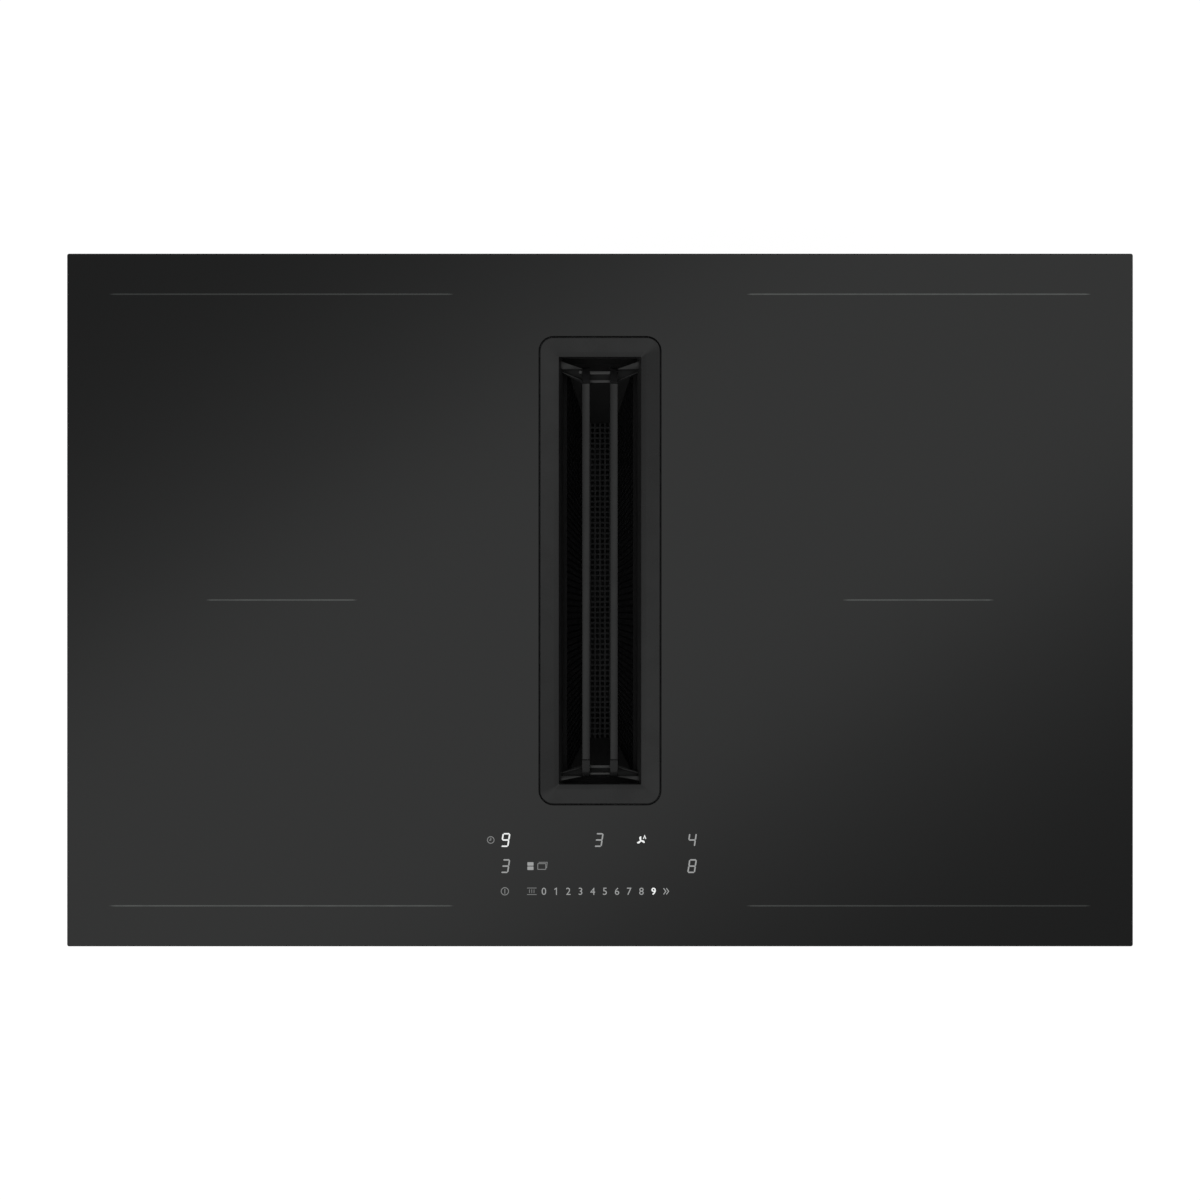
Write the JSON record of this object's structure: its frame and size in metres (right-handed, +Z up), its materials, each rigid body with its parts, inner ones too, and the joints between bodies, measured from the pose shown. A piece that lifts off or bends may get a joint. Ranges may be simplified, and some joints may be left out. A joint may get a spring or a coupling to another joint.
{
  "type": "downdraft induction cooktop",
  "caption": "Black glass induction cooktop with a slotted extractor grille in its middle, over a grease filter, fan housing and catch tray.",
  "frame": {"origin": "middle of the glass panel, on the plane of the worktop that the seal rests on", "axes": "+X to the cook's right, +Y to the back, +Z up out of the worktop"},
  "size_m": [0.8, 0.52, 0.203],
  "materials": {
    "black_glass": "gloss",
    "seal_foam": "matt",
    "zinc_sheet": "galvanised satin",
    "black_casting": "satin",
    "filter_steel": "satin",
    "duct_plastic": "matt",
    "litz_copper": "satin",
    "pale_plastic": "matt",
    "mica": "satin",
    "ferrite": "matt",
    "bare_aluminium": "mill",
    "circuit_board": "satin",
    "black_plastic": "satin",
    "bright_steel": "bright"
  },
  "bodies": {
    "hob": {"glass_panel": "black_glass", "worktop_seal": "seal_foam", "glass_frame": "zinc_sheet", "casing_base": "zinc_sheet", "casing_sides": "zinc_sheet", "intake_seal": "seal_foam", "intake_duct": "duct_plastic", "coil_front_left": "litz_copper", "coil_rear_left": "litz_copper", "coil_front_right": "litz_copper", "coil_rear_right": "litz_copper", "coil_former_front_left": "pale_plastic", "coil_former_rear_left": "pale_plastic", "coil_former_front_right": "pale_plastic", "coil_former_rear_right": "pale_plastic", "mica_sheets": "mica", "ferrite_bars": "ferrite", "coil_tray_left": "bare_aluminium", "coil_tray_right": "bare_aluminium", "tray_posts": "zinc_sheet", "temperature_sensors": "bare_aluminium", "power_board_left": "circuit_board", "power_board_right": "circuit_board", "heat_sink_left": "bare_aluminium", "heat_sink_right": "bare_aluminium", "power_components_left": "black_plastic", "power_components_right": "black_plastic", "cooler_frame_left": "black_plastic", "cooler_frame_right": "black_plastic", "terminal_block": "black_plastic", "cable_gland": "black_plastic", "control_board": "circuit_board", "control_carrier": "pale_plastic", "touch_pads": "seal_foam", "display_modules": "black_plastic", "air_box": "duct_plastic", "air_box_lid": "duct_plastic", "scroll_cover": "duct_plastic", "fan_mounts": "seal_foam", "mount_screws": "bright_steel", "motor_bracket": "bright_steel", "motor_stator": "bright_steel", "outlet_spigot": "duct_plastic", "clamp_brackets": "zinc_sheet", "clamp_screws": "zinc_sheet"},
    "grille": {"cover_grille": "black_casting"},
    "filter": {"filter_frame": "filter_steel", "filter_basket": "filter_steel"},
    "fan": {"fan_rotor": "bright_steel", "fan_wheel": "black_plastic"},
    "cooler_left": {"cooler_rotor_left": "black_plastic"},
    "cooler_right": {"cooler_rotor_right": "black_plastic"},
    "flap": {"backdraught_flap": "black_plastic"},
    "tray": {"catch_tray": "black_plastic"},
    "clamp_dog_front_left": {"clamp_dog_front_left": "zinc_sheet"},
    "clamp_dog_front_right": {"clamp_dog_front_right": "zinc_sheet"},
    "clamp_dog_rear_left": {"clamp_dog_rear_left": "zinc_sheet"},
    "clamp_dog_rear_right": {"clamp_dog_rear_right": "zinc_sheet"}
  },
  "joints": [
    {"name": "grille_lift", "type": "slide", "parent": "hob", "child": "grille", "axis": [0, 0, 1], "range_m": [0, 0.2]},
    {"name": "filter_lift", "type": "slide", "parent": "hob", "child": "filter", "axis": [0, 0, 1], "range_m": [0, 0.12]},
    {"name": "fan_spin", "type": "hinge", "parent": "hob", "child": "fan", "pos_m": [0.165, 0.012, -0.1], "axis": [0, 0, 1], "continuous": true},
    {"name": "cooler_spin_left", "type": "hinge", "parent": "hob", "child": "cooler_left", "pos_m": [-0.342, 0.12, -0.04], "axis": [0, 0, 1], "continuous": true},
    {"name": "cooler_spin_right", "type": "hinge", "parent": "hob", "child": "cooler_right", "pos_m": [0.342, 0.12, -0.04], "axis": [0, 0, 1], "continuous": true},
    {"name": "flap_turn", "type": "hinge", "parent": "hob", "child": "flap", "pos_m": [0.1735, 0.205, -0.1105], "axis": [1, 0, 0], "range_deg": [0, 80]},
    {"name": "tray_drop", "type": "slide", "parent": "hob", "child": "tray", "axis": [0, 0, -1], "range_m": [0, 0.08]},
    {"name": "clamp_swing_front_left", "type": "hinge", "parent": "hob", "child": "clamp_dog_front_left", "pos_m": [-0.3839, -0.19, -0.029], "axis": [0, 0, 1], "range_deg": [0, 90]},
    {"name": "clamp_swing_front_right", "type": "hinge", "parent": "hob", "child": "clamp_dog_front_right", "pos_m": [0.3839, -0.19, -0.029], "axis": [0, 0, -1], "range_deg": [0, 90]},
    {"name": "clamp_swing_rear_left", "type": "hinge", "parent": "hob", "child": "clamp_dog_rear_left", "pos_m": [-0.3839, 0.19, -0.029], "axis": [0, 0, -1], "range_deg": [0, 90]},
    {"name": "clamp_swing_rear_right", "type": "hinge", "parent": "hob", "child": "clamp_dog_rear_right", "pos_m": [0.3839, 0.19, -0.029], "axis": [0, 0, 1], "range_deg": [0, 90]}
  ],
  "couplings": [
    {"joint": "filter_lift", "follows": "grille_lift", "ratio": 0.6}
  ]
}
